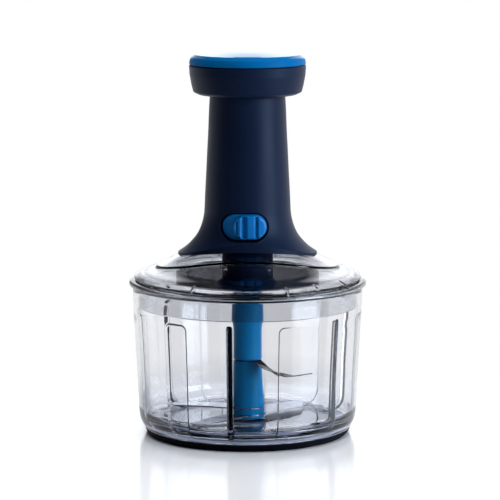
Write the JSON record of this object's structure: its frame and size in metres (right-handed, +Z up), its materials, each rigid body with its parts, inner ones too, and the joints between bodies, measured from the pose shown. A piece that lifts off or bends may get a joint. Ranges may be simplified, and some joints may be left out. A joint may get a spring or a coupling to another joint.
{
  "type": "plunger food chopper",
  "caption": "Hand-press food chopper: a clear bowl with a bladed stem on a pivot pin, a smoked lid with a plunger column, twisted drive shaft and slide lock.",
  "frame": {"origin": "centre of the base ring's underside, on the surface that the bowl stands on, on the axis of the stem and the plunger", "axes": "+Z up along the plunger's axis, -Y towards the front where the slide lock is, +X to the right as seen from the front"},
  "size_m": [0.1532, 0.1532, 0.2487],
  "materials": {
    "clear_plastic": "clear glossy plastic, faintly smoked",
    "smoked_plastic": "smoked clear glossy plastic",
    "navy_plastic": "navy, satin soft-touch",
    "blue_plastic": "bright blue, glossy",
    "stem_plastic": "deep blue, satin",
    "rubber": "black non-slip rubber",
    "seal": "translucent grey silicone",
    "steel": "stainless steel",
    "nylon": "natural nylon"
  },
  "bodies": {
    "bowl": {"bowl": "clear_plastic", "base_ring": "rubber", "pivot_pin": "steel"},
    "lid": {"lid": "smoked_plastic", "lid_seal": "seal", "hub_carrier": "navy_plastic", "hub_cover": "navy_plastic", "inner_shield": "smoked_plastic", "shaft_bush": "nylon", "column_housing": "navy_plastic", "guide_sleeve": "nylon", "lid_screw_1": "steel", "lid_screw_2": "steel", "lid_screw_3": "steel", "lock_bezel": "blue_plastic", "spring_seat": "nylon", "return_spring": "steel"},
    "plunger": {"plunger_tube": "navy_plastic", "knob_shell": "navy_plastic", "knob_cap": "blue_plastic", "knob_screw_1": "steel", "knob_screw_2": "steel", "knob_screw_3": "steel", "drive_nut": "nylon"},
    "drive": {"drive_shaft": "steel", "retaining_ring": "steel", "clutch_driver": "steel", "drive_coupler": "navy_plastic"},
    "lock": {"lock_slider": "blue_plastic", "lock_bolt": "steel"},
    "blades": {"stem_upper": "stem_plastic", "stem_middle": "stem_plastic", "stem_lower": "stem_plastic", "stem_foot": "stem_plastic", "stem_core": "steel", "blade_upper": "steel", "blade_middle": "steel", "blade_lower": "steel"}
  },
  "joints": [
    {"name": "lid_lift", "type": "slide", "parent": "bowl", "child": "lid", "axis": [0, 0, 1], "range_m": [0, 0.12]},
    {"name": "plunger_press", "type": "slide", "parent": "lid", "child": "plunger", "axis": [0, 0, 1], "range_m": [0, 0.05], "deforming": ["return_spring"]},
    {"name": "drive_spin", "type": "hinge", "parent": "lid", "child": "drive", "pos_m": [0, 0, 0.12], "axis": [0, 0, 1], "range_deg": [-600.1, 0]},
    {"name": "lock_slide", "type": "hinge", "parent": "lid", "child": "lock", "pos_m": [0, 0, 0.137], "axis": [0, 0, 1], "range_deg": [-12.5, 0]},
    {"name": "blade_spin", "type": "hinge", "parent": "bowl", "child": "blades", "pos_m": [0, 0, 0.0083], "axis": [0, 0, 1], "range_deg": [-600.1, 0]}
  ],
  "couplings": [
    {"joint": "drive_spin", "follows": "plunger_press", "rad_per_m": -209.44},
    {"joint": "blade_spin", "follows": "plunger_press", "rad_per_m": -209.44}
  ]
}
